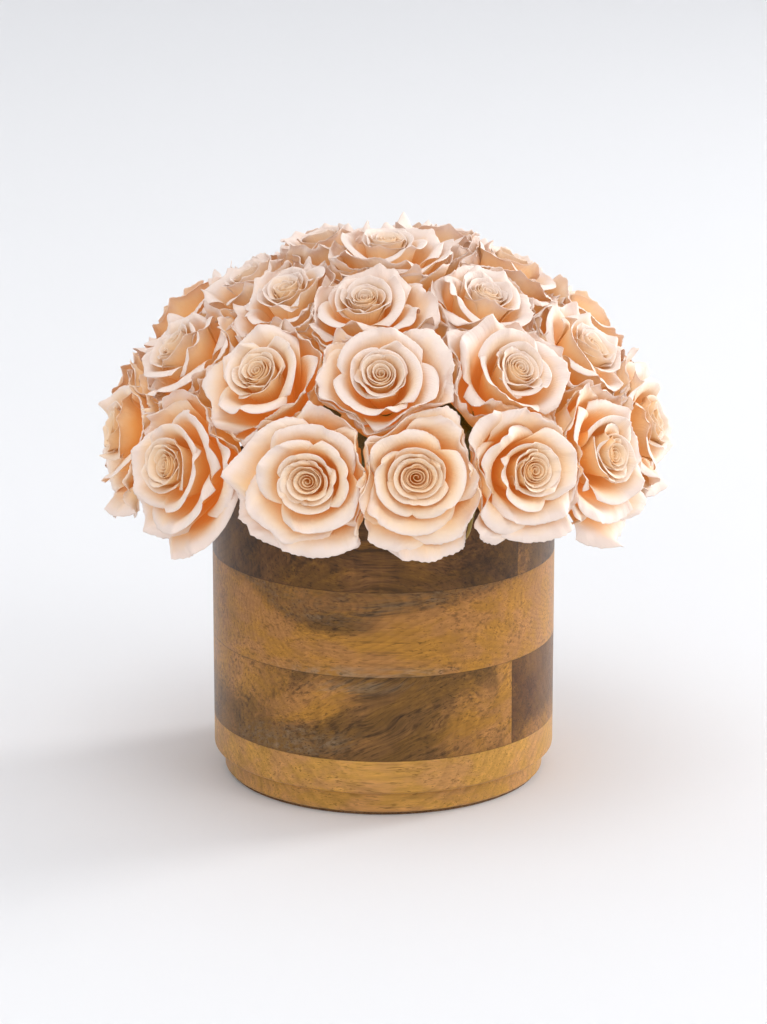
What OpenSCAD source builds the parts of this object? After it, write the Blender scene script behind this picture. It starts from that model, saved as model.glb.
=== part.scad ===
// Round flower pot turned from stacked, glued wooden planks, with a lift-out
// liner that carries dry foam and a dome of preserved rose heads.
// Millimetres, +Z up. The origin is the centre of the underside, the front is -Y.

/* [Pot] */
// Outside diameter of the pot
pot_d = 160; // [150:1:170]
// Thickness of the pot's wall
wall_t = 9; // [8:0.5:10]
// Height of the lowest plank's top, which is also the pot's inside floor
base_top_z = 28; // [26:1:32]
// Thickness of each plank above the lowest one
plank_t = 40; // [38:1:42]
// Height of the rim, where the top plank was trimmed
rim_z = 145; // [140:1:146]
// Rounding of the rim's two edges
rim_round = 2.5; // [1:0.5:3]
// Rounding of the body's lower edge
hem_round = 1.5; // [1:0.5:3]

/* [Foot] */
// Diameter of the recessed foot
foot_d = 150; // [140:1:154]
// Height at which the body overhangs the foot
foot_top_z = 12; // [8:1:16]
// Thickness of the cork pad under the foot
pad_t = 1.5; // [1:0.5:3]
// How far the cork pad is set in from the foot's side
pad_inset = 2; // [1:0.5:6]

/* [Side boards] */
// Distance of the glue joint from the pot's axis in the lower plank
lower_joint_x = 59; // [56:0.5:66]
// Distance of the glue joint from the pot's axis in the upper plank
upper_joint_x = 61; // [56:0.5:66]

/* [Liner and foam] */
// Clearance between the liner and the pot's wall
liner_gap = 0.7; // [0.5:0.1:1]
// Thickness of the liner's wall and floor
liner_t = 1.5; // [1:0.1:2]
// How far the liner's edge lies below the rim
liner_drop = 3; // [2:0.5:6]
// Clearance between the foam and the liner's wall
foam_gap = 0.3; // [0.2:0.1:0.5]
// Height of the centre of the foam's dome
foam_dome_z = 132; // [130:1:138]
// Diameter of the plastic pin holder under the foam
anchor_d = 34; // [30:1:40]

/* [Roses] */
// Largest radius of a rose head before its neighbours press on it
head_r = 30; // [28:0.5:31]
// Distance from a head's base to its widest level
head_waist = 25; // [22:1:27]
// Gap between the heads of two neighbouring roses
head_gap = 0.4; // [0.3:0.1:0.6]
// Length of the calyx under a head
calyx_len = 7.5; // [6:0.5:8]
// Length of the pick below the calyx
pick_len = 38; // [34:1:40]
// Diameter of a pick
pick_d = 2.8; // [2.4:0.1:3]

/* [Hidden] */
pot_r = pot_d / 2;
bore_r = pot_r - wall_t;
foot_r = foot_d / 2;
pad_r = foot_r - pad_inset;
foot_chamfer = 0.8;
seam_1_z = base_top_z + plank_t;
seam_2_z = seam_1_z + plank_t;
liner_r = bore_r - liner_gap;
liner_top_z = rim_z - liner_drop;
foam_floor_z = base_top_z + liner_t;
foam_r = liner_r - liner_t - foam_gap;
anchor_t = 2;
prong_len = 28;
prong_d = 3;
prong_circle_r = 11;
prong_tip_len = 5;
prong_tip_d = 0.6;
pick_clearance = 0.1;
head_base_r = 5.2;
calyx_foot_d = pick_d + 1.2;
head_flare = 0.75;
head_square = 0.75;
pot_clearance = 0.8;
beyond = 200;

// One row per ring of roses: radius and height of the heads' bases, tilt of the
// heads above the horizontal, length of a head, and for each rose its azimuth,
// counted from the front (-Y) towards +X, and how far it stands above its ring.
RINGS = [
    [84, 159, 15, 53,
     [[-77, 0], [-50, -2], [-15, 2], [7, 4], [31, 3], [54, 2], [80, 3],
      [109, 0], [138, 3], [167, -1], [196, 2], [225, 0], [254, 1]]],
    [67, 183, 42, 55,
     [[-71, -2], [-34, -2], [0, 2], [37, -2], [71, -3],
      [108, 1], [144, -1], [180, 2], [216, 0], [252, 1]]],
    [41, 200, 63, 54,
     [[-82, 0], [-47, -1], [-8, 0], [50, -3], [103, 1], [155, 0], [214, 1]]],
    [13, 214, 82, 52, [[5, 0]]],
    [19, 212, 77, 52, [[-100, 0]]],
    [27, 209, 71, 53, [[130, 0]]]
];

// One row per rose: azimuth, base radius, base height, tilt, head length
ROSES = [for (ring = RINGS) for (rose = ring[4])
    [rose[0], ring[0], ring[1] + rose[1], ring[2], ring[3]]];

function two_digits(n) = n < 10 ? str("0", n) : str(n);
function rose_name(i) = str("rose_", two_digits(i + 1));

$fn = 96;

// Unit vector along a rose's axis, from its base to its face
function rose_axis(i) = [
    sin(ROSES[i][0]) * cos(ROSES[i][3]),
    -cos(ROSES[i][0]) * cos(ROSES[i][3]),
    sin(ROSES[i][3])
];

// Centre of a head's base
function rose_base(i) = [
    ROSES[i][1] * sin(ROSES[i][0]),
    -ROSES[i][1] * cos(ROSES[i][0]),
    ROSES[i][2]
];

// Centre of a head at its widest level
function rose_waist(i) = rose_base(i) + head_waist * rose_axis(i);

// Points of a quarter round about a centre, from one angle to another
function quarter_round(centre, r, from, to) = [
    for (k = [0 : 4]) let (a = from + (to - from) * k / 4) centre + r * [cos(a), sin(a)]
];

// Points of a rose head's outline: the flare from its base to its waist, then
// the crown from the waist to its top
function head_outline(len) = concat(
    [[0, 0]],
    [for (k = [0 : 5]) let (t = k / 6)
        [head_base_r + (head_r - head_base_r) * pow(sin(90 * t), head_flare), head_waist * t]],
    [for (k = [0 : 8]) let (a = 90 * k / 8)
        [head_r * pow(cos(a), head_square), head_waist + (len - head_waist) * sin(a)]]
);

// Moves its children to a rose's base and turns +Z to the rose's axis
module at_rose(i) {
    translate(rose_base(i))
        rotate([0, 90 - ROSES[i][3], ROSES[i][0] - 90])
            children();
}

// The space on the far side of the plane halfway between two neighbouring heads
module beyond_neighbour(i, j) {
    a = rose_waist(i);
    b = rose_waist(j);
    d = b - a;
    translate((a + b) / 2)
        rotate([0, acos(d.z / norm(d)), atan2(d.y, d.x)])
            translate([-beyond / 2, -beyond / 2, -head_gap / 2])
                cube([beyond, beyond, beyond / 2]);
}

// A plain ring of the pot's wall between two heights
module wall_ring(low_z, high_z) {
    difference() {
        translate([0, 0, low_z]) cylinder(r = pot_r, h = high_z - low_z);
        translate([0, 0, low_z - 1]) cylinder(r = bore_r, h = high_z - low_z + 2);
    }
}

// The half of space on the outer side of a side board's glue joint
module outside_joint(joint_x) {
    translate([joint_x, -beyond / 2, 0]) cube([beyond, beyond, beyond]);
}

// The top ring of the wall, with its rim rounded inside and out
module rim_ring() {
    rotate_extrude()
        polygon(concat(
            [[bore_r, seam_2_z], [pot_r, seam_2_z]],
            quarter_round([pot_r - rim_round, rim_z - rim_round], rim_round, 0, 90),
            quarter_round([bore_r + rim_round, rim_z - rim_round], rim_round, 90, 180)
        ));
}

module foot_pad() {
    color("peru") cylinder(r = pad_r, h = pad_t);
}

// The lowest plank, solid, with the foot turned in its underside
module base_plank() {
    color("burlywood")
        rotate_extrude()
            polygon(concat(
                [[0, pad_t], [foot_r - foot_chamfer, pad_t], [foot_r, pad_t + foot_chamfer],
                 [foot_r, foot_top_z]],
                quarter_round([pot_r - hem_round, foot_top_z + hem_round], hem_round, -90, 0),
                [[pot_r, base_top_z], [0, base_top_z]]
            ));
}

module lower_plank() {
    color("saddlebrown")
        difference() {
            wall_ring(base_top_z, seam_1_z);
            outside_joint(lower_joint_x);
        }
}

module lower_side_board() {
    color("sienna")
        intersection() {
            wall_ring(base_top_z, seam_1_z);
            outside_joint(lower_joint_x);
        }
}

module middle_plank() {
    color("peru") wall_ring(seam_1_z, seam_2_z);
}

module upper_plank() {
    color("saddlebrown")
        difference() {
            rim_ring();
            outside_joint(upper_joint_x);
        }
}

module upper_side_board() {
    color("sienna")
        intersection() {
            rim_ring();
            outside_joint(upper_joint_x);
        }
}

module liner() {
    color("dimgray")
        difference() {
            translate([0, 0, base_top_z]) cylinder(r = liner_r, h = liner_top_z - base_top_z);
            translate([0, 0, foam_floor_z]) cylinder(r = liner_r - liner_t, h = rim_z);
        }
}

// The pin holder's disc and prongs, grown by a clearance where it is cut out of the foam
module anchor_shape(clearance) {
    translate([0, 0, foam_floor_z]) {
        cylinder(d = anchor_d + 2 * clearance, h = anchor_t + clearance);
        for (a = [45 : 90 : 315])
            rotate([0, 0, a]) translate([prong_circle_r, 0, 0]) {
                cylinder(d = prong_d + 2 * clearance, h = prong_len);
                translate([0, 0, prong_len])
                    cylinder(d1 = prong_d + 2 * clearance, d2 = prong_tip_d + 2 * clearance,
                             h = prong_tip_len + clearance);
            }
    }
}

module foam_anchor() {
    color("darkgreen") anchor_shape(0);
}

// The picks, or the holes that they make in the foam
module picks(clearance) {
    for (i = [0 : len(ROSES) - 1])
        at_rose(i)
            translate([0, 0, -calyx_len - pick_len - clearance])
                cylinder(d = pick_d + 2 * clearance, h = pick_len + clearance);
}

module foam_block() {
    color("darkseagreen")
        difference() {
            union() {
                translate([0, 0, foam_floor_z]) cylinder(r = foam_r, h = foam_dome_z - foam_floor_z);
                translate([0, 0, foam_dome_z]) sphere(r = foam_r);
            }
            anchor_shape(pick_clearance);
            picks(pick_clearance);
        }
}

module rose_picks() {
    color("tan") picks(0);
}

module rose_calyxes() {
    color("darkolivegreen")
        for (i = [0 : len(ROSES) - 1])
            at_rose(i)
                translate([0, 0, -calyx_len])
                    cylinder(r1 = calyx_foot_d / 2, r2 = head_base_r, h = calyx_len);
}

// One rose head, flattened where its neighbours press on it and clear of the pot
module rose_head(i) {
    color("peachpuff")
        difference() {
            at_rose(i) rotate_extrude() polygon(head_outline(ROSES[i][4]));
            for (j = [0 : len(ROSES) - 1])
                if (j != i && norm(rose_waist(j) - rose_waist(i)) < 2 * head_r)
                    beyond_neighbour(i, j);
            cylinder(r = pot_r + pot_clearance, h = rim_z + pot_clearance);
        }
}

foot_pad();
base_plank();
lower_plank();
lower_side_board();
middle_plank();
upper_plank();
upper_side_board();
liner();
foam_anchor();
foam_block();
rose_picks();
rose_calyxes();
for (i = [0 : len(ROSES) - 1])
    rose_head(i);
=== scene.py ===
"""A dome of preserved roses in a turned pot of stacked mango wood planks.

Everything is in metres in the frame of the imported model: the origin is the centre of
the pot's underside, +Z is up and the front is -Y. Roses are shaped in millimetres round
their own axes and scaled down as they are placed.
"""

import math

import bpy
import numpy as np
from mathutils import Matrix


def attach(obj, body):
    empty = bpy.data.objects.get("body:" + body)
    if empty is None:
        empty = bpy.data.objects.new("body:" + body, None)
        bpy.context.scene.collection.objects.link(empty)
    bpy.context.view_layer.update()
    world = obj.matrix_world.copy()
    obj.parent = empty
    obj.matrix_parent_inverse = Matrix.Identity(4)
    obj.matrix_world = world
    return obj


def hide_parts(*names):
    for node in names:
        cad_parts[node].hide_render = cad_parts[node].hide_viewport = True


MM = 0.001

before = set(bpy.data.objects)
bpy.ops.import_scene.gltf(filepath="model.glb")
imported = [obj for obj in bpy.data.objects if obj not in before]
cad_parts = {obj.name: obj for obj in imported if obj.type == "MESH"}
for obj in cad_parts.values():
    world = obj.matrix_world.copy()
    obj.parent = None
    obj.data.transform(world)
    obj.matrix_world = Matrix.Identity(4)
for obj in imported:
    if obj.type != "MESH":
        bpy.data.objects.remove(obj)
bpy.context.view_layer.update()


# ---------------------------------------------------------------- sizes

POT_R = 80 * MM
POT_RIM_Z = 145 * MM
SEAMS_Z = (28 * MM, 68 * MM, 108 * MM)
LOWER_JOINT_X = 59 * MM
UPPER_JOINT_X = 61 * MM

# Rings of roses, as the frame has them: radius and height of the heads' bases, tilt
# above the horizontal, length of a head, and for each rose its azimuth from the front
# towards +X and how far it stands above its ring.
RINGS = (
    (84, 159, 15, 53, ((-77, 0), (-50, -2), (-15, 2), (7, 4), (31, 3), (54, 2), (80, 3),
                       (109, 0), (138, 3), (167, -1), (196, 2), (225, 0), (254, 1))),
    (67, 183, 42, 55, ((-71, -2), (-34, -2), (0, 2), (37, -2), (71, -3),
                       (108, 1), (144, -1), (180, 2), (216, 0), (252, 1))),
    (41, 200, 63, 54, ((-82, 0), (-47, -1), (-8, 0), (50, -3), (103, 1), (155, 0), (214, 1))),
    (13, 214, 82, 52, ((5, 0),)),
    (19, 212, 77, 52, ((-100, 0),)),
    (27, 209, 71, 53, ((130, 0),)),
)
# The low roses at the front are wider than they are high.
FRONT_AZIMUTH = 35
LOW_TILT = 20
FRONT_SQUAT = 0.93
# Painted light: the roses that look up are painted paler than the ones that look out.
PAINTED_TOP_LIGHT = 4.2
# The petals are drawn for a head of this length, then each rose opens a little more or
# less, and nods a little to one side.
DRAWN_LENGTH = 52
OPENNESS = (0.92, 1.12)
NODDING = 0.045
RIGHT_HANDED = 0.6
FIRST_ROSE_SEED = 500
CALYX_SEED = 77
# Neighbours within this reach press on each other at the height of their waists.
HEAD_WAIST = 25
CELL_REACH = 62
PRESS_ROUNDS = 2
PRESS_SOFTNESS = 4.5
POT_CLEARANCE = 1.2
GOLDEN_ANGLE = math.radians(137.5)
SEPALS = 5
SEPAL_GRID = (7, 14)
SEPAL_LENGTH = (25, 32)
# Radius and height of the green swelling under a rose, from its foot up
RECEPTACLE = ((1.6, -7.5), (2.3, -6.2), (3.9, -4.2), (4.8, -1.8), (4.6, 0.4), (2.0, 1.2))
RECEPTACLE_SPOKES = 16


# ---------------------------------------------------------------- camera and studio

CAMERA_DISTANCE = 1.7984
CAMERA_HEIGHT = 0.6296
CAMERA_PITCH = 15.72
CAMERA_LENS = 140.6
SENSOR_WIDTH = 36
FARTHEST_SEEN = 50
AIM_HEIGHT = 0.14

FLOOR_R = 3.0
BEND_R = 1.5
WALL_HEIGHT = 4.0
FLOOR_RINGS = 10
BEND_RINGS = 15
SWEEP_SPOKES = 96
PAPER = (0.8, 0.8, 0.81, 1)
SKY = (0.95, 0.97, 1, 1)
SKY_STRENGTH = 0.82

# Name, place, width and height, watts and colour of each soft light
SOFTBOXES = (
    ("key_right", (3.2, -2.4, 2.6), (2.4, 2.4), 39, (1, 0.99, 0.97)),
    ("fill_front", (-1.2, -4.2, 1.6), (2.4, 2.0), 28, (1, 1, 1)),
    ("top", (-0.3, -0.9, 3.2), (2.0, 2.0), 21, (1, 1, 1)),
    ("rim_right", (2.6, 1.2, 0.8), (0.8, 1.8), 62, (1, 1, 1)),
    ("rim_left", (-2.6, 1.0, 0.8), (0.5, 1.8), 3, (1, 1, 1)),
)


def make_camera():
    """A long lens a little above the roses, square to the front."""
    data = bpy.data.cameras.new("camera")
    data.lens = CAMERA_LENS
    data.sensor_width = SENSOR_WIDTH
    data.clip_end = FARTHEST_SEEN
    camera = bpy.data.objects.new("camera", data)
    camera.location = (0, -CAMERA_DISTANCE, CAMERA_HEIGHT)
    camera.rotation_euler = (math.radians(90 - CAMERA_PITCH), 0, 0)
    bpy.context.collection.objects.link(camera)
    bpy.context.scene.camera = camera


def softbox(name, place, size, watts, colour):
    """An area light at place, aimed at the middle of the object."""
    data = bpy.data.lights.new(name, "AREA")
    data.energy = watts
    data.color = colour
    data.shape = "RECTANGLE"
    data.size, data.size_y = size
    light = bpy.data.objects.new(name, data)
    light.location = place
    aim = np.array([0, 0, AIM_HEIGHT]) - np.array(place)
    flat = math.hypot(aim[0], aim[1])
    light.rotation_euler = (math.atan2(flat, -aim[2]), 0, math.atan2(-aim[0], aim[1]))
    bpy.context.collection.objects.link(light)


def new_object(name, vertices, faces):
    """An object from lists of vertices and faces."""
    mesh = bpy.data.meshes.new(name)
    mesh.from_pydata([tuple(v) for v in vertices], [], [tuple(f) for f in faces])
    mesh.validate()
    obj = bpy.data.objects.new(name, mesh)
    bpy.context.collection.objects.link(obj)
    return obj


def make_studio():
    """A pale sweep: a round floor that curves up into a wall far behind it."""
    profile = [(FLOOR_R * k / FLOOR_RINGS, 0) for k in range(1, FLOOR_RINGS + 1)]
    for k in range(1, BEND_RINGS + 1):
        a = math.radians(90 * k / BEND_RINGS)
        profile.append((FLOOR_R + BEND_R * math.sin(a), BEND_R * (1 - math.cos(a))))
    profile.append((FLOOR_R + BEND_R, WALL_HEIGHT))
    vertices = [(0, 0, 0)]
    for r, z in profile:
        for s in range(SWEEP_SPOKES):
            a = 2 * math.pi * s / SWEEP_SPOKES
            vertices.append((r * math.cos(a), r * math.sin(a), z))
    faces = [(0, 1 + s, 1 + (s + 1) % SWEEP_SPOKES) for s in range(SWEEP_SPOKES)]
    for k in range(len(profile) - 1):
        for s in range(SWEEP_SPOKES):
            a, b = 1 + k * SWEEP_SPOKES, 1 + (k + 1) * SWEEP_SPOKES
            t = (s + 1) % SWEEP_SPOKES
            faces.append((a + s, b + s, b + t, a + t))
    sweep = new_object("studio_sweep", vertices, faces)
    for polygon in sweep.data.polygons:
        polygon.use_smooth = True
    material = bpy.data.materials.new("studio_paper")
    material.use_nodes = True
    shader = material.node_tree.nodes["Principled BSDF"]
    shader.inputs["Base Color"].default_value = PAPER
    shader.inputs["Roughness"].default_value = 0.9
    sweep.data.materials.append(material)

    world = bpy.data.worlds.new("studio_light")
    world.use_nodes = True
    bpy.context.scene.world = world
    background = world.node_tree.nodes["Background"]
    background.inputs["Color"].default_value = SKY
    background.inputs["Strength"].default_value = SKY_STRENGTH
    for light in SOFTBOXES:
        softbox(*light)


make_camera()
make_studio()
bpy.context.scene.view_settings.view_transform = "Standard"


# ---------------------------------------------------------------- petals

# Points across a petal, and the rows of points up it, closer together where it curls
PETAL_ACROSS = 47
PETAL_ROWS = (0, 0.14, 0.28, 0.42, 0.54, 0.64, 0.72, 0.79, 0.85, 0.9, 0.935, 0.965, 0.985, 1)
# A petal thins over this share of its width, and its pointed corners are this wide.
PETAL_THICKNESS = 0.32
PETAL_EDGE_THICKNESS = 0.12
EDGE_REACH = 0.06
CORNER_REACH = 0.14
# The furthest a petal wraps each way round its rose, in radians
WIDEST_WRAP = 2.7
# The scroll's points along it, its turns, its first radius and how much that grows
SCROLL_STEPS = 141
SCROLL_TURNS = 4.2
SCROLL_R = (0.45, 4.9)
SCROLL_FOOT = 20
SCROLL_TOP = 45

# Petals from the heart of a rose outwards. Each kind has a number of petals and the
# measures of its first and last one, in the order of PETAL_MEASURES: layer is 0 at the
# scroll and 1 at the outside, foot_w the height of the petal's foot, foot, cup and lip the
# lean of its foot, middle and edge in degrees from the rose's axis, the rest millimetres.
PETAL_MEASURES = ("layer", "foot_w", "length", "foot", "cup", "lip", "half_width")
PETAL_KINDS = (
    (11, (0.05, 14, 30.5, 6, 1, 24, 10), (0.38, 11, 36, 22, 12, 66, 17)),
    (5, (0.45, 10, 38.5, 27, 16, 88, 20), (0.8, 7, 42.5, 38, 32, 116, 28)),
    (7, (0.86, 6, 45, 42, 35, 122, 30), (1.0, 4, 45.5, 57, 43, 116, 31)),
)


def ease(low, high, x):
    """0 below low, 1 above high, and smooth between."""
    t = np.clip((x - low) / (high - low), 0, 1)
    return t * t * (3 - 2 * t)


def ripple(rng, x, waves, power=1.0):
    """A sum of sines along x, one for each (frequency, height) in waves, times power."""
    total = np.zeros_like(x)
    for frequency, height in waves:
        shift = rng.uniform(0, 2 * math.pi)
        total += height * np.sin(frequency * rng.uniform(0.85, 1.15) * x + shift)
    return power * total


def petal_surface(rng, size):
    """Middle surface of one petal round the rose's axis: x, y and height, and the
    coordinates across and up the petal. size is a dictionary of the petal's measures."""
    across = np.concatenate(([-1], np.linspace(-0.975, 0.975, PETAL_ACROSS - 2), [1]))
    up = np.array(PETAL_ROWS)
    u, v = np.meshgrid(across, up)

    # How far each row leans out, curling over towards the edge and least at the corners.
    foot, cup, lip = (math.radians(a) for a in size["lean"])
    corner = sum(np.exp(-np.abs((u - at) / CORNER_REACH) ** 1.4) for at in size["corners"])
    lip_lean = lip * (1 + size["side_curl"] * np.abs(u) ** 2 - 0.35 * corner)
    curl = ease(size["curl_from"], 1.03, v) ** 1.1
    lean = foot + (cup - foot) * ease(0, 0.55, v) + (lip_lean - cup) * curl

    # A rounded, ragged outline with two points.
    length = size["length"] * (1 - size["round"] * np.abs(u) ** 2.6)
    length = length + size["point"] * corner
    length = length + ripple(rng, u, ((3, 0.6), (29, 0.25), (67, 0.4)), size["ragged"])

    # Row by row outwards and up from the foot.
    step = np.diff(up)[:, None]
    middle = (lean[1:] + lean[:-1]) / 2
    foot_row = np.zeros((1, len(across)))
    out = np.vstack((foot_row, np.cumsum(np.sin(middle) * length[1:] * step, 0)))
    rise = np.vstack((foot_row, np.cumsum(np.cos(middle) * length[1:] * step, 0)))
    r = size["foot_r"] + out
    w = size["foot_w"] + rise

    # Wrapped round the rose's axis, one side tucked under the next petal.
    r_middle = np.maximum(r[:, len(across) // 2], 2.5)[:, None]
    width = size["half_width"] * (0.35 + 0.65 * ease(0, 0.8, v))
    angle = np.minimum(width / r_middle, WIDEST_WRAP)
    phi = size["turn"] + size["hand"] * u * angle

    r = r + size["tuck"] * u * v ** 0.7 + size["side_out"] * u ** 2 * v ** 2
    w = w - size["side_drop"] * u ** 2 * v ** 2

    # Waves, crimps and creases, square to the petal.
    wave = size["wave"] * v ** 2 * ripple(rng, u, ((2.6, 0.8), (5.2, 0.4)))
    crimp = size["crimp"] * v ** 8 * ripple(rng, u, ((9, 0.5), (23, 0.4)))
    crease = size["wave"] * 0.5 * v * ripple(rng, u * 2 + v * 3, ((2.3, 0.5), (4.1, 0.25)))
    off = wave + crimp + crease
    r = np.maximum(r + off * np.cos(lean), 0.4)
    w = w - off * np.sin(lean)
    return np.stack((r * np.cos(phi), r * np.sin(phi), w), -1), u, v


def bud_surface(rng, hand, turn):
    """The tight scroll in the middle of a rose."""
    s, v = np.meshgrid(np.linspace(0, 1, SCROLL_STEPS), np.array(PETAL_ROWS))
    r = SCROLL_R[0] + SCROLL_R[1] * s ** 0.95
    r = r + (0.15 + 0.6 * s) * ease(0.8, 1.02, v) ** 1.5
    r = np.maximum(r + 0.2 * ripple(rng, s * 6, ((3, 0.6), (7, 0.4))) * v, 0.35)
    high = SCROLL_TOP - 1.2 * s + 0.35 * ripple(rng, s * 9, ((2, 0.6), (5, 0.4)))
    high = high - 1.6 * (1 - s) ** 3
    w = SCROLL_FOOT + (high - SCROLL_FOOT) * v
    phi = turn + hand * 2 * math.pi * SCROLL_TURNS * s
    return np.stack((r * np.cos(phi), r * np.sin(phi), w), -1), 2 * s - 1, v


def surface_normals(points):
    """Unit normals of a grid of points."""
    along = np.gradient(points, axis=1)
    up = np.gradient(points, axis=0)
    normal = np.cross(along, up)
    return normal / np.maximum(np.linalg.norm(normal, axis=-1, keepdims=True), 1e-9)


def shell(points, u, v, layer):
    """A closed thin shell about a grid of points, with its faces and its values."""
    rows, columns = u.shape
    normal = surface_normals(points)
    edge = np.minimum(np.minimum(1 - np.abs(u), 1 - v) / EDGE_REACH, 1)
    half = (PETAL_EDGE_THICKNESS + (PETAL_THICKNESS - PETAL_EDGE_THICKNESS) * edge) / 2
    front = points + normal * half[..., None]
    back = points - normal * half[..., None]
    vertices = np.concatenate((front.reshape(-1, 3), back.reshape(-1, 3)))
    count = rows * columns
    index = np.arange(count).reshape(rows, columns)
    a, b, c, d = index[:-1, :-1], index[:-1, 1:], index[1:, 1:], index[1:, :-1]
    quads = [np.stack((a, b, c, d), -1).reshape(-1, 4)]
    quads.append(np.stack((a, d, c, b), -1).reshape(-1, 4) + count)
    ring = np.concatenate((index[0, :-1], index[:-1, -1], index[-1, :0:-1], index[:0:-1, 0]))
    following = np.roll(ring, -1)
    quads.append(np.stack((following, ring, ring + count, following + count), -1))
    values = {
        "across": np.tile(u.ravel(), 2),
        "up": np.tile(v.ravel(), 2),
        "layer": np.full(2 * count, layer),
        "inside": np.concatenate((np.zeros(count), np.ones(count))),
    }
    return vertices, np.concatenate(quads), values


def rose_petals(rng, hand, openness):
    """Every petal of one rose, from the scroll in the middle to the guard petals."""
    petals = []
    turn = rng.uniform(0, 2 * math.pi)
    points, u, v = bud_surface(rng, hand, turn)
    petals.append((points, u, v, 0.0))
    for count, first, last in PETAL_KINDS:
        for k in range(count):
            t = k / (count - 1)
            measure = {
                name: (1 - t) * a + t * b for name, a, b in zip(PETAL_MEASURES, first, last)
            }
            turn += GOLDEN_ANGLE * hand + rng.uniform(-0.2, 0.2)
            layer = measure["layer"]
            openness_here = 1 + (openness - 1) * layer
            size = {
                "turn": turn,
                "hand": hand,
                "foot_r": 1.6 + 2.6 * layer,
                "foot_w": measure["foot_w"],
                "length": measure["length"] + rng.uniform(-1.2, 1.2),
                "lean": (
                    measure["foot"] * openness_here,
                    measure["cup"] * openness_here + rng.uniform(-3, 3) * layer,
                    measure["lip"] + rng.uniform(-14, 14),
                ),
                "curl_from": 0.84 - 0.12 * layer + rng.uniform(-0.04, 0.03),
                "half_width": measure["half_width"] + rng.uniform(-1, 1),
                "side_curl": rng.uniform(0.0, 0.35),
                "round": rng.uniform(0.06, 0.13),
                "corners": rng.uniform(-0.8, 0.8, 2),
                "point": rng.uniform(1.0, 3.8) * (0.15 + 0.85 * layer),
                "ragged": 0.06 + 0.85 * layer ** 2,
                "tuck": 0.5 + 1.6 * layer,
                "side_out": 0.8 * layer,
                "side_drop": 1.0 * layer,
                "wave": 0.12 + 1.3 * layer,
                "crimp": 0.05 + 0.22 * layer,
            }
            points, u, v = petal_surface(rng, size)
            petals.append((points, u, v, layer))
    return petals


# ---------------------------------------------------------------- roses in their places


def rose_places():
    """(base, axis, sideways, upwards, head length, squat) of every rose, in millimetres."""
    places = []
    for base_r, base_z, tilt, length, roses in RINGS:
        for azimuth, above in roses:
            a, t = math.radians(azimuth), math.radians(tilt)
            outwards = np.array([math.sin(a), -math.cos(a), 0])
            base = base_r * outwards + np.array([0, 0, base_z + above])
            axis = math.cos(t) * outwards + np.array([0, 0, math.sin(t)])
            sideways = np.array([math.cos(a), math.sin(a), 0])
            low_in_front = abs(azimuth) < FRONT_AZIMUTH and tilt < LOW_TILT
            squat = FRONT_SQUAT if low_in_front else 1.0
            places.append((base, axis, sideways, np.cross(axis, sideways), length, squat))
    return places


def shared_wave(points):
    """A smooth offset in space, the same for both roses at a contact."""
    x, y, z = points[..., 0], points[..., 1], points[..., 2]
    return (
        2.2 * np.sin(0.17 * x + 1.3) * np.cos(0.15 * z - 0.4)
        + 1.9 * np.sin(0.21 * y + 0.11 * z + 2.1)
        + 1.3 * np.sin(0.43 * (x - z) + 0.7) * np.cos(0.39 * y)
    )


def press_together(points, number, waists):
    """Presses a rose's petals flat where a neighbour's begin."""
    for _ in range(PRESS_ROUNDS):
        for other, waist in enumerate(waists):
            if other == number:
                continue
            gap = waist - waists[number]
            distance = np.linalg.norm(gap)
            if distance > CELL_REACH:
                continue
            n = gap / distance
            sign = 1 if number < other else -1
            room = distance / 2 + sign * shared_wave(points) - (points - waists[number]) @ n
            over = np.minimum(room - PRESS_SOFTNESS, 0)
            pressed = PRESS_SOFTNESS * np.exp(over / PRESS_SOFTNESS)
            move = np.where(room < PRESS_SOFTNESS, pressed - room, 0)
            points = points - move[..., None] * n
    return points


def clear_of_pot(points):
    """Pushes petals that would enter the pot's wall outwards, or up over its rim."""
    wall_r = POT_R / MM + POT_CLEARANCE
    rim_z = POT_RIM_Z / MM + POT_CLEARANCE
    r = np.hypot(points[..., 0], points[..., 1])
    low = points[..., 2] < rim_z
    inside = low & (r < wall_r)
    outwards = wall_r - r
    upwards = rim_z - points[..., 2]
    by_side = inside & (outwards < upwards)
    by_rim = inside & ~by_side
    points = points.copy()
    scale = np.where(by_side, wall_r / np.maximum(r, 1), 1)
    points[..., 0] *= scale
    points[..., 1] *= scale
    points[..., 2] = np.where(by_rim, rim_z, points[..., 2])
    return points


def add_values(mesh, values):
    """Puts a value for each vertex on a mesh, under each name in values."""
    for name, data in values.items():
        attribute = mesh.attributes.new(name, "FLOAT", "POINT")
        attribute.data.foreach_set("value", data.astype(np.float32))


def mesh_object(name, vertices, quads, values):
    """A smooth-shaded object from arrays, with a value for each vertex."""
    mesh = bpy.data.meshes.new(name)
    mesh.vertices.add(len(vertices))
    mesh.vertices.foreach_set("co", vertices.astype(np.float32).ravel())
    mesh.loops.add(quads.size)
    mesh.loops.foreach_set("vertex_index", quads.astype(np.int32).ravel())
    mesh.polygons.add(len(quads))
    mesh.polygons.foreach_set("loop_start", np.arange(0, quads.size, 4, dtype=np.int32))
    mesh.polygons.foreach_set("use_smooth", np.ones(len(quads), dtype=bool))
    mesh.update(calc_edges=True)
    add_values(mesh, values)
    obj = bpy.data.objects.new(name, mesh)
    bpy.context.collection.objects.link(obj)
    return obj


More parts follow.
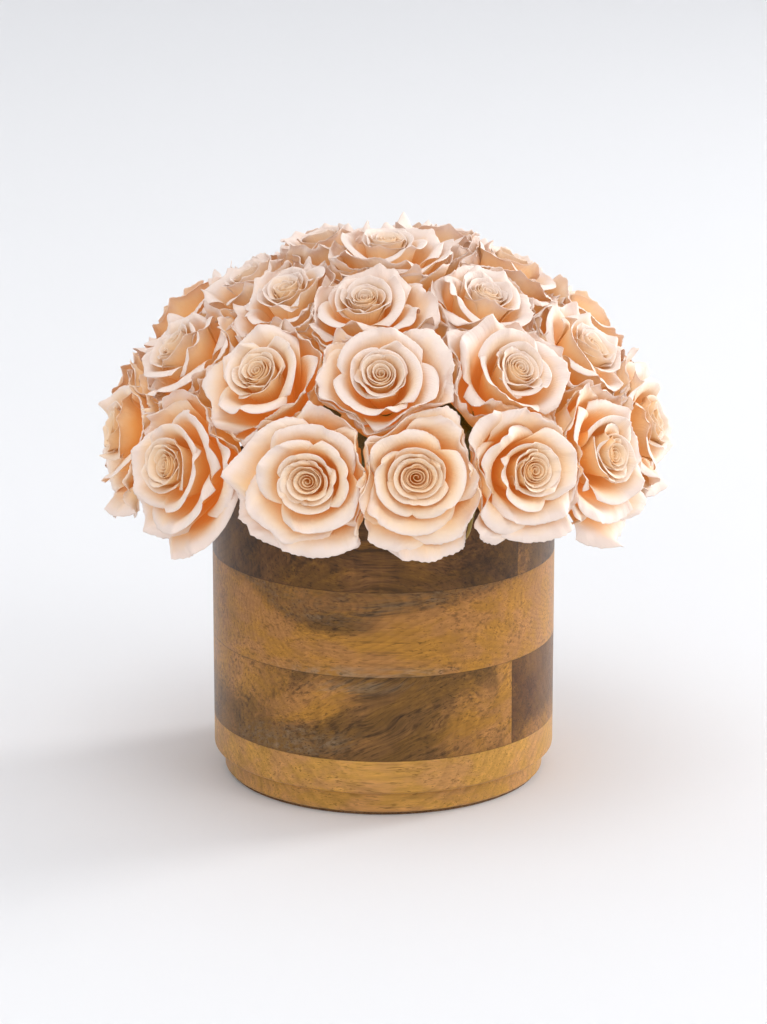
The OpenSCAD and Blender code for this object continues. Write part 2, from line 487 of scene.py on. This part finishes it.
def joined(parts):
    """One set of arrays from several (vertices, quads, values)."""
    start = np.cumsum([0] + [len(p[0]) for p in parts[:-1]])
    vertices = np.concatenate([p[0] for p in parts])
    quads = np.concatenate([p[1] + s for p, s in zip(parts, start)])
    values = {k: np.concatenate([p[2][k] for p in parts]) for k in parts[0][2]}
    return vertices, quads, values


def make_rose(number, places, waists):
    """One rose head, which stands for its CAD solid."""
    base, axis, sideways, upwards, length, squat = places[number]
    rng = np.random.default_rng(FIRST_ROSE_SEED + number)
    hand = 1 if rng.uniform() < RIGHT_HANDED else -1
    openness = rng.uniform(*OPENNESS) * (1 + squat) / 2
    stretch = length / DRAWN_LENGTH
    nod = rng.normal(0, NODDING, 2)
    parts = []
    for points, u, v, layer in rose_petals(rng, hand, openness):
        w = points[..., 2] * stretch
        x = points[..., 0] * (1.5 - squat / 2) + nod[0] * (w - HEAD_WAIST)
        y = points[..., 1] * squat + nod[1] * (w - HEAD_WAIST)
        placed = base + x[..., None] * sideways + y[..., None] * upwards + w[..., None] * axis
        placed = press_together(placed, number, waists)
        placed = clear_of_pot(placed)
        parts.append(shell(placed, u, v, layer))
    vertices, quads, values = joined(parts)
    # Each rose's colour varies a little at random, and painted light makes the roses that look up
    # paler.
    values["tone_and_painted_top_light"] = np.full(len(vertices), rng.uniform(-1, 1) + PAINTED_TOP_LIGHT * axis[2] ** 2)
    if hand < 0:
        values["inside"] = 1 - values["inside"]
    rose = mesh_object("rose_head_%02d" % (number + 1), vertices * MM, quads, values)
    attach(rose, "insert")
    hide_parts("rose_%02d" % (number + 1))
    return rose


def receptacle(base, axis, sideways, upwards):
    """The green swelling under a rose, as a closed shape round the rose's axis."""
    spokes = RECEPTACLE_SPOKES
    a = np.arange(spokes) * 2 * math.pi / spokes
    rows = [
        base + w * axis + r * (np.cos(a)[:, None] * sideways + np.sin(a)[:, None] * upwards)
        for r, w in RECEPTACLE
    ]
    vertices = np.concatenate(rows)
    index = np.arange(len(vertices)).reshape(len(RECEPTACLE), spokes)
    following = np.roll(index, -1, axis=1)
    quads = np.stack((index[:-1], following[:-1], following[1:], index[1:]), -1).reshape(-1, 4)
    caps = []
    for ring, flip in ((index[0], True), (index[-1], False)):
        for k in range(spokes // 2 - 1):
            corners = [ring[k], ring[k + 1], ring[spokes - 2 - k], ring[spokes - 1 - k]]
            caps.append(corners[::-1] if flip else corners)
    up = np.repeat(np.linspace(0, 0.3, len(RECEPTACLE)), spokes)
    values = {"across": np.zeros(len(vertices)), "up": up}
    return vertices, np.concatenate((quads, np.array(caps))), values


def sepal_surface(rng, turn):
    """Middle surface of one sepal, laid back against the guard petals."""
    u, v = np.meshgrid(np.linspace(-1, 1, SEPAL_GRID[0]), np.linspace(0, 1, SEPAL_GRID[1]))
    length = rng.uniform(*SEPAL_LENGTH)
    half = 3.6 * (1 - v) ** 0.8 * (0.75 + 0.25 * np.sin(v * 9 + turn)) + 0.25
    lean = np.radians(62 + rng.uniform(-6, 10) + 34 * v ** 1.5)
    step = length / (SEPAL_GRID[1] - 1)
    out = 4.2 + np.cumsum(np.sin(lean) * step, 0) - step * np.sin(lean[0])
    w = -1.6 + np.cumsum(np.cos(lean) * step, 0) - 0.5 * u ** 2
    phi = turn + 0.12 * np.sin(5 * v + turn) * v
    x = out * np.cos(phi) - u * half * np.sin(phi)
    y = out * np.sin(phi) + u * half * np.cos(phi)
    return np.stack((x, y, w), -1), u, v


def make_calyxes(places, waists):
    """The calyx of every rose: a small green swelling with its sepals."""
    rng = np.random.default_rng(CALYX_SEED)
    parts = []
    for number, (base, axis, sideways, upwards, _, _) in enumerate(places):
        vertices, quads, values = receptacle(base, axis, sideways, upwards)
        values["layer"] = np.zeros(len(vertices))
        values["inside"] = np.zeros(len(vertices))
        parts.append((vertices, quads, values))
        first = rng.uniform(0, 2 * math.pi)
        for k in range(SEPALS):
            turn = first + 2 * math.pi * k / SEPALS + rng.uniform(-0.2, 0.2)
            points, u, v = sepal_surface(rng, turn)
            x, y, w = points[..., 0], points[..., 1], points[..., 2]
            placed = base + x[..., None] * sideways + y[..., None] * upwards + w[..., None] * axis
            placed = press_together(placed, number, waists)
            parts.append(shell(clear_of_pot(placed), u, v, 1.0))
    vertices, quads, values = joined(parts)
    calyxes = mesh_object("calyxes", vertices * MM, quads, values)
    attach(calyxes, "insert")
    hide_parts("rose_calyxes")
    return calyxes


# ---------------------------------------------------------------- materials


def rgb(red, green, blue):
    """A linear colour from 0 to 255 display values."""
    channels = [c / 255 for c in (red, green, blue)]
    linear = [c / 12.92 if c <= 0.04045 else ((c + 0.055) / 1.055) ** 2.4 for c in channels]
    return (*linear, 1)


def wire(tree, source, target):
    """Links one node's socket to another's."""
    tree.links.new(source, target)


def give(tree, socket, value):
    """Sets a socket to a number or a colour, or wires another socket to it."""
    if isinstance(value, (int, float, tuple)):
        socket.default_value = value
    else:
        wire(tree, value, socket)


def value_node(tree, name):
    """A value that the vertices of a mesh carry."""
    node = tree.nodes.new("ShaderNodeAttribute")
    node.attribute_name = name
    return node.outputs["Fac"]


def ramp_node(tree, factor, stops):
    """A colour ramp with a (place, colour) for each stop."""
    node = tree.nodes.new("ShaderNodeValToRGB")
    elements = node.color_ramp.elements
    while len(elements) < len(stops):
        elements.new(0.5)
    for element, (place, colour) in zip(elements, stops):
        element.position = place
        element.color = colour
    wire(tree, factor, node.inputs["Fac"])
    return node.outputs["Color"]


def maths(tree, operation, *inputs):
    """A calculation on numbers and sockets. MULTIPLY_ADD is first by second plus third."""
    node = tree.nodes.new("ShaderNodeMath")
    node.operation = operation
    for socket, value in zip(node.inputs, inputs):
        give(tree, socket, value)
    return node.outputs[0]


def blend_colour(tree, factor, first, second, mode="MIX"):
    """Two colours mixed by a factor. Its sockets for colours are 6 and 7 in and 2 out."""
    node = tree.nodes.new("ShaderNodeMix")
    node.data_type = "RGBA"
    node.blend_type = mode
    for number, value in ((0, factor), (6, first), (7, second)):
        give(tree, node.inputs[number], value)
    return node.outputs[2]


def vector_maths(tree, operation, first, second):
    """A calculation on two vectors."""
    node = tree.nodes.new("ShaderNodeVectorMath")
    node.operation = operation
    give(tree, node.inputs[0], first)
    give(tree, node.inputs[1], second)
    return node.outputs[0]


def stretched(tree, place, stretch, shift):
    """place times stretch along each axis, plus a shift."""
    return vector_maths(tree, "ADD", vector_maths(tree, "MULTIPLY", place, stretch), shift)


def noise(tree, vector, detail, roughness, distortion=0.0, scale=1):
    """Cloudy noise over a vector, from 0 to 1."""
    node = tree.nodes.new("ShaderNodeTexNoise")
    node.inputs["Scale"].default_value = scale
    node.inputs["Detail"].default_value = detail
    node.inputs["Roughness"].default_value = roughness
    node.inputs["Distortion"].default_value = distortion
    wire(tree, vector, node.inputs["Vector"])
    return node.outputs["Fac"]


def between(tree, value, low, high):
    """0 below low, 1 above high, smooth between."""
    node = tree.nodes.new("ShaderNodeMapRange")
    node.interpolation_type = "SMOOTHSTEP"
    node.inputs["From Min"].default_value = low
    node.inputs["From Max"].default_value = high
    wire(tree, value, node.inputs["Value"])
    return node.outputs["Result"]


def new_group(name, inputs, outputs):
    """A node group with named sockets, (name, kind, value) in and (name, kind) out, and
    the sockets that its nodes are wired to."""
    group = bpy.data.node_groups.new(name, "ShaderNodeTree")
    for label, kind, value in inputs:
        socket = group.interface.new_socket(label, in_out="INPUT", socket_type=kind)
        socket.default_value = value
    for label, kind in outputs:
        group.interface.new_socket(label, in_out="OUTPUT", socket_type=kind)
    given = group.nodes.new("NodeGroupInput").outputs
    result = group.nodes.new("NodeGroupOutput").inputs
    return group, given, result


def place_group(tree, group, values):
    """A group node with its inputs set or wired."""
    node = tree.nodes.new("ShaderNodeGroup")
    node.node_tree = group
    for label, value in values.items():
        give(tree, node.inputs[label], value)
    return node.outputs


def make_plank_grain():
    """Mango wood with its grain along X: honey sapwood, brown and grey heartwood,
    growth rings, pores, fibres and a soft ripple across the grain."""
    tree, given, result = new_group(
        "plank_grain",
        (
            ("Place", "NodeSocketVector", (0, 0, 0)),
            ("Seed", "NodeSocketVector", (0, 0, 0)),
            ("Honey", "NodeSocketColor", rgb(190, 136, 68)),
            ("Gold", "NodeSocketColor", rgb(190, 136, 68)),
            ("Brown", "NodeSocketColor", rgb(104, 70, 32)),
            ("Grey", "NodeSocketColor", rgb(140, 118, 92)),
            ("Brown Part", "NodeSocketFloat", 0.0),
            ("Grey Part", "NodeSocketFloat", 0.0),
            ("Pith Depth", "NodeSocketFloat", 0.05),
            ("Pith Height", "NodeSocketFloat", 0.0),
            ("Pith Slant", "NodeSocketFloat", 0.0),
            ("Ring Width", "NodeSocketFloat", 0.005),
            ("Ripple", "NodeSocketFloat", 0.1),
            ("Slope", "NodeSocketFloat", 0.0),
            ("Swirl", "NodeSocketFloat", 0.0),
            ("Strokes", "NodeSocketFloat", 0.2),
            ("Low Edge", "NodeSocketFloat", 0.0),
            ("High Edge", "NodeSocketFloat", 1.0),
            ("Joint", "NodeSocketFloat", 1.0),
        ),
        (
            ("Colour", "NodeSocketColor"),
            ("Shine", "NodeSocketFloat"),
            ("Height", "NodeSocketFloat"),
        ),
    )

    def grain_noise(vector, stretch, detail, roughness, distortion=0.0):
        moved = stretched(tree, vector, stretch, seed)
        return noise(tree, moved, detail, roughness, distortion)

    def times(first, second):
        return maths(tree, "MULTIPLY", first, second)

    def line(value, slope, start):
        return maths(tree, "MULTIPLY_ADD", value, slope, start)

    def less(first, second):
        return maths(tree, "SUBTRACT", first, second)

    # How far along, how deep and how high a point is in its board. The grain runs along X,
    # and swirls and slopes a little as it goes.
    place, seed = given["Place"], given["Seed"]
    split = tree.nodes.new("ShaderNodeSeparateXYZ")
    wire(tree, place, split.inputs[0])
    x, y, z = split.outputs
    along = tree.nodes.new("ShaderNodeCombineXYZ")
    swirl = less(grain_noise(place, (14, 14, 30), 2, 0.5), 0.5)
    level = less(line(swirl, given["Swirl"], z), times(x, given["Slope"]))
    for socket, value in zip(along.inputs, (x, y, level)):
        wire(tree, value, socket)
    run = along.outputs[0]

    # Growth rings round a pith that lies along the board.
    wander = line(grain_noise(place, (9, 24, 24), 2, 0.45), 0.024, -0.012)
    deep = less(y, line(x, given["Pith Slant"], given["Pith Depth"]))
    deep = maths(tree, "ADD", deep, wander)
    high = less(less(z, given["Pith Height"]), wander)
    distance = maths(tree, "SQRT", maths(tree, "ADD", times(deep, deep), times(high, high)))
    ring = maths(tree, "FRACT", maths(tree, "DIVIDE", distance, given["Ring Width"]))
    late = times(between(tree, ring, 0.35, 0.92), less(1, between(tree, ring, 0.93, 1.0)))

    # Brown and grey heartwood, feathered along the grain where it starts.
    streak = grain_noise(run, (24, 380, 380), 4, 0.62)
    cloud = grain_noise(run, (24, 60, 60), 3, 0.55)
    edge = grain_noise(run, (40, 140, 140), 4, 0.6)
    feather = grain_noise(run, (16, 620, 620), 4, 0.7)
    edge = maths(tree, "ADD", line(edge, 0.7, -0.85), feather)
    uneven = line(streak, 0.55, line(cloud, 0.7, 0.2))
    brown = between(tree, maths(tree, "ADD", given["Brown Part"], edge), 0.05, 0.95)
    brown = times(brown, maths(tree, "MINIMUM", uneven, 1))
    grey = between(tree, maths(tree, "ADD", given["Grey Part"], edge), 0.2, 1.0)
    grey = times(grey, between(tree, streak, 0.3, 0.62))

    # Fibres, pores, dark strokes, and a soft ripple across the grain.
    fibre = grain_noise(run, (55, 950, 950), 4, 0.7)
    pore = between(tree, grain_noise(run, (110, 1500, 1500), 2, 0.6), 0.55, 0.66)
    pore_bed = line(brown, 0.6, between(tree, streak, 0.38, 0.6))
    pore = times(pore, maths(tree, "MINIMUM", pore_bed, 1))
    stroke = grain_noise(run, (42, 620, 620), 3, 0.62)
    stroke = times(between(tree, stroke, 0.5, 0.66), between(tree, cloud, 0.38, 0.56))
    stroke = times(stroke, given["Strokes"])
    ripple = grain_noise(place, (230, 34, 70), 2, 0.5, 0.6)

    warm = grain_noise(run, (30, 90, 90), 3, 0.6)
    warm = between(tree, warm, 0.38, 0.62)
    colour = blend_colour(tree, warm, given["Honey"], given["Gold"])
    colour = blend_colour(tree, brown, colour, given["Brown"])
    colour = blend_colour(tree, times(grey, 0.75), colour, given["Grey"])

    shade = line(late, -0.14, 1.05)
    shade = times(shade, line(fibre, 0.62, 0.69))
    shade = times(shade, line(streak, 0.7, 0.65))
    shade = times(shade, line(cloud, 0.5, 0.75))
    shade = times(shade, line(times(less(ripple, 0.5), given["Ripple"]), 4, 1))
    shade = times(shade, line(pore, -0.5, 1))
    shade = times(shade, less(1, stroke))

    # Glue lines: 0 at a board's edges and at its joint, 1 away from them.
    low_seam = maths(tree, "ABSOLUTE", less(z, given["Low Edge"]))
    high_seam = maths(tree, "ABSOLUTE", less(z, given["High Edge"]))
    joint = maths(tree, "ABSOLUTE", less(x, given["Joint"]))
    seam = maths(tree, "MINIMUM", maths(tree, "MINIMUM", low_seam, high_seam), joint)
    seam = between(tree, seam, 0.05 * MM, 0.4 * MM)
    shade = times(shade, line(seam, 0.4, 0.6))

    grey_shade = tree.nodes.new("ShaderNodeCombineXYZ")
    for socket in grey_shade.inputs:
        wire(tree, shade, socket)
    colour = blend_colour(tree, 1.0, colour, grey_shade.outputs[0], "MULTIPLY")
    wire(tree, colour, result["Colour"])
    wire(tree, line(streak, 0.16, 0.3), result["Shine"])
    relief = line(pore, -0.5, times(fibre, 0.2))
    wire(tree, maths(tree, "ADD", relief, seam), result["Height"])
    return tree


def new_material(name):
    """A material with its nodes and its shader."""
    material = bpy.data.materials.new(name)
    material.use_nodes = True
    return material, material.node_tree, material.node_tree.nodes["Principled BSDF"]


# A petal's colour, and the painted glow that stands in for the light it lets through, from its
# foot up to its edge
PETAL_COLOURS = (
    (0.3, rgb(232, 152, 62)),
    (0.56, rgb(240, 180, 108)),
    (0.74, rgb(242, 207, 162)),
    (0.86, rgb(240, 216, 191)),
    (0.95, rgb(238, 220, 209)),
)
# Painted glow, given as emission, from a petal's foot up to its edge
PETAL_PAINTED_GLOW = (
    (0.3, (0.16, 0.072, 0.012, 1)),
    (0.75, (0.1, 0.048, 0.012, 1)),
    (1.0, (0.034, 0.018, 0.008, 1)),
)
BLACK = (0, 0, 0, 1)


def rough_up(tree, shader, height, strength, depth):
    """Gives a shader a bumpy surface, its bumps depth millimetres deep."""
    bump = tree.nodes.new("ShaderNodeBump")
    bump.inputs["Strength"].default_value = strength
    bump.inputs["Distance"].default_value = depth * MM
    wire(tree, height, bump.inputs["Height"])
    wire(tree, bump.outputs["Normal"], shader.inputs["Normal"])


def petal_material():
    """A preserved petal: orange at its foot and in the heart of the rose, where the orange is
    partly painted shade, blush at its edge, blotched and finely veined, with a painted glow."""
    material, tree, shader = new_material("preserved_petal")
    up, tone_and_painted_top_light = value_node(tree, "up"), value_node(tree, "tone_and_painted_top_light")
    layer, inside = value_node(tree, "layer"), value_node(tree, "inside")
    place = tree.nodes.new("ShaderNodeTexCoord").outputs["Object"]
    blotch = noise(tree, place, 4, 0.5, scale=90)

    height = maths(tree, "ADD", up, maths(tree, "MULTIPLY_ADD", blotch, 0.22, -0.11))
    # A little random colour for each rose, plus painted light that makes the roses that look up
    # paler.
    height = maths(tree, "MULTIPLY_ADD", tone_and_painted_top_light, 0.03, height)
    # Petals near the heart are shifted deeper orange: partly their own colour, partly painted
    # shade in the bud's narrow gaps.
    heart_tint_and_shade = maths(tree, "SUBTRACT", 1, layer)
    heart_tint_and_shade = maths(tree, "MULTIPLY", heart_tint_and_shade, heart_tint_and_shade)
    height = maths(tree, "MULTIPLY_ADD", heart_tint_and_shade, -0.2, height)
    back = maths(tree, "SUBTRACT", 1, inside)
    height = maths(tree, "MULTIPLY_ADD", back, -0.08, height)
    wire(tree, ramp_node(tree, height, PETAL_COLOURS), shader.inputs["Base Color"])

    # Petals let light through; a painted orange glow stands in for that light, strongest in the
    # depths of a rose and on its outer petals.
    open_part = maths(tree, "MULTIPLY_ADD", layer, 0.55, 0.45)
    glow = blend_colour(tree, open_part, BLACK, ramp_node(tree, height, PETAL_PAINTED_GLOW))
    wire(tree, glow, shader.inputs["Emission Color"])
    shader.inputs["Emission Strength"].default_value = 1.0

    vein = tree.nodes.new("ShaderNodeCombineXYZ")
    across = value_node(tree, "across")
    for socket, value, waves in zip(vein.inputs, (across, up, layer), (26, 5, 90)):
        wire(tree, maths(tree, "MULTIPLY", value, waves), socket)
    vein = noise(tree, vein.outputs[0], 3, 0.6)
    crinkle = maths(tree, "ADD", vein, maths(tree, "MULTIPLY", blotch, 1.2))
    rough_up(tree, shader, crinkle, 0.5, 0.5)
    shader.inputs["Roughness"].default_value = 0.62
    shader.inputs["Sheen Weight"].default_value = 0.06
    shader.inputs["Sheen Roughness"].default_value = 0.5
    shader.inputs["Specular IOR Level"].default_value = 0.3
    return material


def patch(tree, x, z, centre, reach, slant=0.0):
    """1 in the middle of an oval patch on a board, 0 outside it. Sizes are millimetres."""
    over = maths(tree, "SUBTRACT", x, centre[0] * MM)
    up = maths(tree, "SUBTRACT", z, centre[1] * MM)
    over = maths(tree, "MULTIPLY_ADD", up, slant, over)
    over = maths(tree, "DIVIDE", over, reach[0] * MM)
    up = maths(tree, "DIVIDE", up, reach[1] * MM)
    far = maths(tree, "ADD", maths(tree, "MULTIPLY", over, over), maths(tree, "MULTIPLY", up, up))
    return maths(tree, "SUBTRACT", 1, between(tree, maths(tree, "SQRT", far), 0.3, 1.5))


def board_material(name, paint, values):
    """Lacquered wood for one board. paint says where the board is brown and grey."""
    material, tree, shader = new_material(name)
    place = tree.nodes.new("ShaderNodeTexCoord").outputs["Object"]
    split = tree.nodes.new("ShaderNodeSeparateXYZ")
    wire(tree, place, split.inputs[0])
    x, _, z = split.outputs
    brown, grey = paint(tree, x, z)
    values = {"Place": place, "Brown Part": brown, "Grey Part": grey, **values}
    grain = place_group(tree, plank_grain, values)
    wire(tree, grain["Colour"], shader.inputs["Base Color"])
    wire(tree, grain["Shine"], shader.inputs["Roughness"])
    rough_up(tree, shader, grain["Height"], 0.25, 0.15)
    shader.inputs["Specular IOR Level"].default_value = 0.2
    shader.inputs["Coat Weight"].default_value = 0.1
    shader.inputs["Coat Roughness"].default_value = 0.25
    return material


# ---------------------------------------------------------------- paint of each board

# Each paint function says how brown and how grey its board is at (x, z).


def faint(tree, strength, *patch_values):
    """A patch that is strength in its middle instead of 1."""
    return maths(tree, "MULTIPLY", patch(tree, *patch_values), strength)


def either(tree, first, *others):
    """The strongest of several patches at each point."""
    for other in others:
        first = maths(tree, "MAXIMUM", first, other)
    return first


def base_paint(tree, x, z):
    """The base plank: honey all through, a little browner on the left."""
    return faint(tree, 0.3, x, z, (-75, 18), (30, 30)), 0.0


def lower_paint(tree, x, z):
    """The lower plank: brown heart, with honey patches in the middle and on the right."""
    honey = either(
        tree,
        patch(tree, x, z, (-34, 54), (17, 12), -0.9),
        faint(tree, 0.8, x, z, (44, 42), (17, 19)),
        patch(tree, x, z, (57, 50), (5, 30), 0.1),
        faint(tree, 0.75, x, z, (-66, 62), (24, 14)),
    )
    brown = maths(tree, "MULTIPLY_ADD", honey, -0.74, 0.82)
    grey = either(
        tree,
        patch(tree, x, z, (-42, 34), (36, 9), -1.0),
        patch(tree, x, z, (-12, 63), (28, 4), -1.5),
    )
    return brown, maths(tree, "MULTIPLY", grey, 0.6)


def lower_side_paint(tree, x, z):
    """The lower side board: dark, with a lighter foot."""
    foot = patch(tree, x, z, (74, 28), (14, 10))
    return maths(tree, "MULTIPLY_ADD", foot, -0.5, 0.95), 0.0


# Foot of the middle plank's dark wedge: (place from left to right, height in the plank)
WEDGE_FOOT = (
    (0.0, 1.0), (0.12, 0.85), (0.24, 0.55), (0.45, 0.52),
    (0.5, 0.72), (0.66, 0.78), (0.9, 0.97), (1.0, 1.1),
)


def middle_paint(tree, x, z):
    """The middle plank: honey, with a grey-brown wedge that thins to the right along its
    top and a pale grey edge along its foot."""
    level = ramp_node(
        tree,
        maths(tree, "MULTIPLY_ADD", x, 0.5 / POT_R, 0.5),
        tuple((place, (height, height, height, 1)) for place, height in WEDGE_FOOT),
    )
    foot = maths(tree, "MULTIPLY_ADD", level, SEAMS_Z[2] - SEAMS_Z[1], SEAMS_Z[1])
    above = maths(tree, "SUBTRACT", z, foot)
    wedge = maths(tree, "MULTIPLY", between(tree, above, -6 * MM, 5 * MM), 0.66)
    brown = either(
        tree,
        wedge,
        faint(tree, 0.9, x, z, (-22, 93), (22, 6)),
        faint(tree, 0.45, x, z, (-82, 90), (24, 30)),
    )
    dull = maths(tree, "MULTIPLY", between(tree, above, -2 * MM, 4 * MM), 0.4)
    return brown, either(tree, dull, faint(tree, 0.9, x, z, (-8, 69), (44, 4.5)))


def upper_paint(tree, x, z):
    """The upper plank: dark heart, a touch warmer in the middle."""
    warm = patch(tree, x, z, (0, 124), (46, 20), -1.0)
    return maths(tree, "MULTIPLY_ADD", warm, -0.28, 1.0), 0.0


def upper_side_paint(tree, x, z):
    """The upper side board: a honey edge at the joint, dark beyond."""
    beyond = between(tree, x, UPPER_JOINT_X + 4 * MM, UPPER_JOINT_X + 9 * MM)
    return maths(tree, "MULTIPLY_ADD", beyond, 0.4, 0.6), 0.0


# Sapwood and heartwood
HONEY = rgb(170, 118, 62)
GOLD = rgb(172, 120, 44)
PALE_HONEY = rgb(188, 136, 78)
PALE_GOLD = rgb(190, 140, 64)
BROWN = rgb(86, 59, 25)
DARK_BROWN = rgb(50, 30, 7)
RED_BROWN = rgb(78, 46, 20)

# Node, paint and grain of each board. Edges, joints, rings and piths are metres.
BOARDS = (
    ("base_plank", base_paint, {
        "Seed": (3, 1, 7), "Honey": PALE_HONEY, "Gold": PALE_GOLD, "Brown": BROWN,
        "Pith Depth": 0.06, "Pith Height": -0.03, "Ring Width": 0.004, "Ripple": 0.05,
        "High Edge": SEAMS_Z[0],
    }),
    ("lower_plank", lower_paint, {
        "Seed": (9, 4, 2), "Honey": HONEY, "Gold": GOLD, "Brown": BROWN,
        "Pith Depth": -0.02, "Pith Height": 0.02, "Ring Width": 0.003, "Ripple": 0.14,
        "Slope": 0.34, "Swirl": 0.03, "Strokes": 0.5,
        "Low Edge": SEAMS_Z[0], "High Edge": SEAMS_Z[1], "Joint": LOWER_JOINT_X,
    }),
    ("lower_side_board", lower_side_paint, {
        "Seed": (5, 8, 1), "Honey": HONEY, "Gold": GOLD, "Brown": RED_BROWN,
        "Pith Depth": 0.03, "Pith Height": 0.09, "Ring Width": 0.005, "Ripple": 0.1,
        "Low Edge": SEAMS_Z[0], "High Edge": SEAMS_Z[1], "Joint": LOWER_JOINT_X,
    }),
    ("middle_plank", middle_paint, {
        "Seed": (1, 6, 4), "Honey": HONEY, "Gold": GOLD, "Brown": BROWN,
        "Pith Depth": -0.061, "Pith Slant": 0.5, "Pith Height": 0.1, "Ring Width": 0.0022,
        "Ripple": 0.07, "Swirl": 0.012, "Strokes": 0.42,
        "Low Edge": SEAMS_Z[1], "High Edge": SEAMS_Z[2],
    }),
    ("upper_plank", upper_paint, {
        "Seed": (7, 3, 9), "Honey": HONEY, "Gold": GOLD, "Brown": DARK_BROWN,
        "Pith Depth": 0.0, "Pith Height": 0.16, "Ring Width": 0.003, "Ripple": 0.16,
        "Slope": -0.15, "Swirl": 0.03, "Strokes": 0.35,
        "Low Edge": SEAMS_Z[2], "Joint": UPPER_JOINT_X,
    }),
    ("upper_side_board", upper_side_paint, {
        "Seed": (2, 9, 5), "Honey": HONEY, "Gold": GOLD, "Brown": DARK_BROWN,
        "Pith Depth": 0.02, "Pith Height": 0.1, "Ring Width": 0.005, "Ripple": 0.1,
        "Low Edge": SEAMS_Z[2], "Joint": UPPER_JOINT_X,
    }),
)


def make_speckle():
    """Mottling: fine grains over broad clouds, with Grains of them to a metre each way."""
    tree, given, result = new_group(
        "speckle",
        (
            ("Place", "NodeSocketVector", (0, 0, 0)),
            ("Grains", "NodeSocketVector", (500, 500, 500)),
        ),
        (("Mottle", "NodeSocketFloat"), ("Height", "NodeSocketFloat")),
    )
    fine_place = vector_maths(tree, "MULTIPLY", given["Place"], given["Grains"])
    broad_place = vector_maths(tree, "MULTIPLY", fine_place, (0.12, 0.12, 0.12))
    fine = noise(tree, fine_place, 3, 0.6)
    broad = maths(tree, "MULTIPLY", noise(tree, broad_place, 2, 0.5), 0.35)
    wire(tree, maths(tree, "MULTIPLY_ADD", fine, 0.65, broad), result["Mottle"])
    wire(tree, fine, result["Height"])
    return tree


SPECKLE_DARKEST = 0.34
SPECKLE_SPAN = 0.3
SPECKLE_BUMP = 0.6


def speckled_material(name, colours, grains, roughness, pits):
    """A mottled material. colours are dark to light, grains is how many there are in a
    metre along each axis, and pits is how deep its surface is pitted, in millimetres."""
    material, tree, shader = new_material(name)
    place = tree.nodes.new("ShaderNodeTexCoord").outputs["Object"]
    grain = place_group(tree, speckle, {"Place": place, "Grains": grains})
    stops = [
        (SPECKLE_DARKEST + SPECKLE_SPAN * k / (len(colours) - 1), colour)
        for k, colour in enumerate(colours)
    ]
    wire(tree, ramp_node(tree, grain["Mottle"], stops), shader.inputs["Base Color"])
    rough_up(tree, shader, grain["Height"], SPECKLE_BUMP, pits)
    shader.inputs["Roughness"].default_value = roughness
    return material


def liner_material():
    """Thin translucent-white plastic, faintly scuffed."""
    whites = (rgb(204, 206, 203), rgb(212, 213, 210), rgb(215, 216, 213))
    return speckled_material("liner_plastic", whites, (240, 240, 120), 0.35, 0.02)


def anchor_material():
    """Dark green moulded plastic."""
    greens = (rgb(28, 62, 34), rgb(38, 78, 44))
    return speckled_material("anchor_plastic", greens, (900, 900, 900), 0.42, 0.03)


def foam_material():
    """Grey-green dry foam, open-pored."""
    greens = (rgb(86, 92, 66), rgb(124, 130, 96), rgb(146, 150, 116))
    return speckled_material("dry_foam", greens, (1500, 1500, 1500), 0.95, 0.5)


def pick_material():
    """Pale split wood, its grain along the pick."""
    straws = (rgb(178, 142, 92), rgb(206, 174, 124), rgb(216, 188, 142))
    return speckled_material("pick_wood", straws, (700, 700, 175), 0.7, 0.06)


def cork_material():
    """Cork: brown grains in a dark binder."""
    browns = (rgb(52, 34, 20), rgb(112, 80, 50), rgb(140, 104, 68))
    return speckled_material("cork", browns, (1100, 1100, 1100), 0.9, 0.25)


SEPAL_COLOURS = (
    (0.1, rgb(96, 104, 48)),
    (0.45, rgb(138, 138, 72)),
    (0.8, rgb(164, 150, 88)),
    (1.0, rgb(150, 118, 66)),
)


def sepal_material():
    """Dried yellow-green leaf, browner at the tips."""
    material, tree, shader = new_material("sepal")
    place = tree.nodes.new("ShaderNodeTexCoord").outputs["Object"]
    mottle = place_group(tree, speckle, {"Place": place, "Grains": (500, 500, 500)})["Height"]
    shifted = maths(tree, "MULTIPLY_ADD", mottle, 0.5, -0.25)
    along = maths(tree, "ADD", value_node(tree, "up"), shifted)
    wire(tree, ramp_node(tree, along, SEPAL_COLOURS), shader.inputs["Base Color"])
    rough_up(tree, shader, mottle, 0.4, 0.2)
    shader.inputs["Roughness"].default_value = 0.7
    return material


def finish_node(name, material):
    """Gives a CAD piece its material."""
    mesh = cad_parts[name].data
    mesh.materials.clear()
    mesh.materials.append(material)


# ---------------------------------------------------------------- the object

plank_grain = make_plank_grain()
for node_name, paint, values in BOARDS:
    finish_node(node_name, board_material(node_name + "_wood", paint, values))

speckle = make_speckle()
finish_node("liner", liner_material())
finish_node("foam_anchor", anchor_material())
finish_node("foam_block", foam_material())
finish_node("rose_picks", pick_material())
finish_node("foot_pad", cork_material())

places = rose_places()
waists = [base + HEAD_WAIST * axis for base, axis, *_ in places]
petal = petal_material()
for number in range(len(places)):
    rose = make_rose(number, places, waists)
    rose.data.materials.append(petal)
make_calyxes(places, waists).data.materials.append(sepal_material())
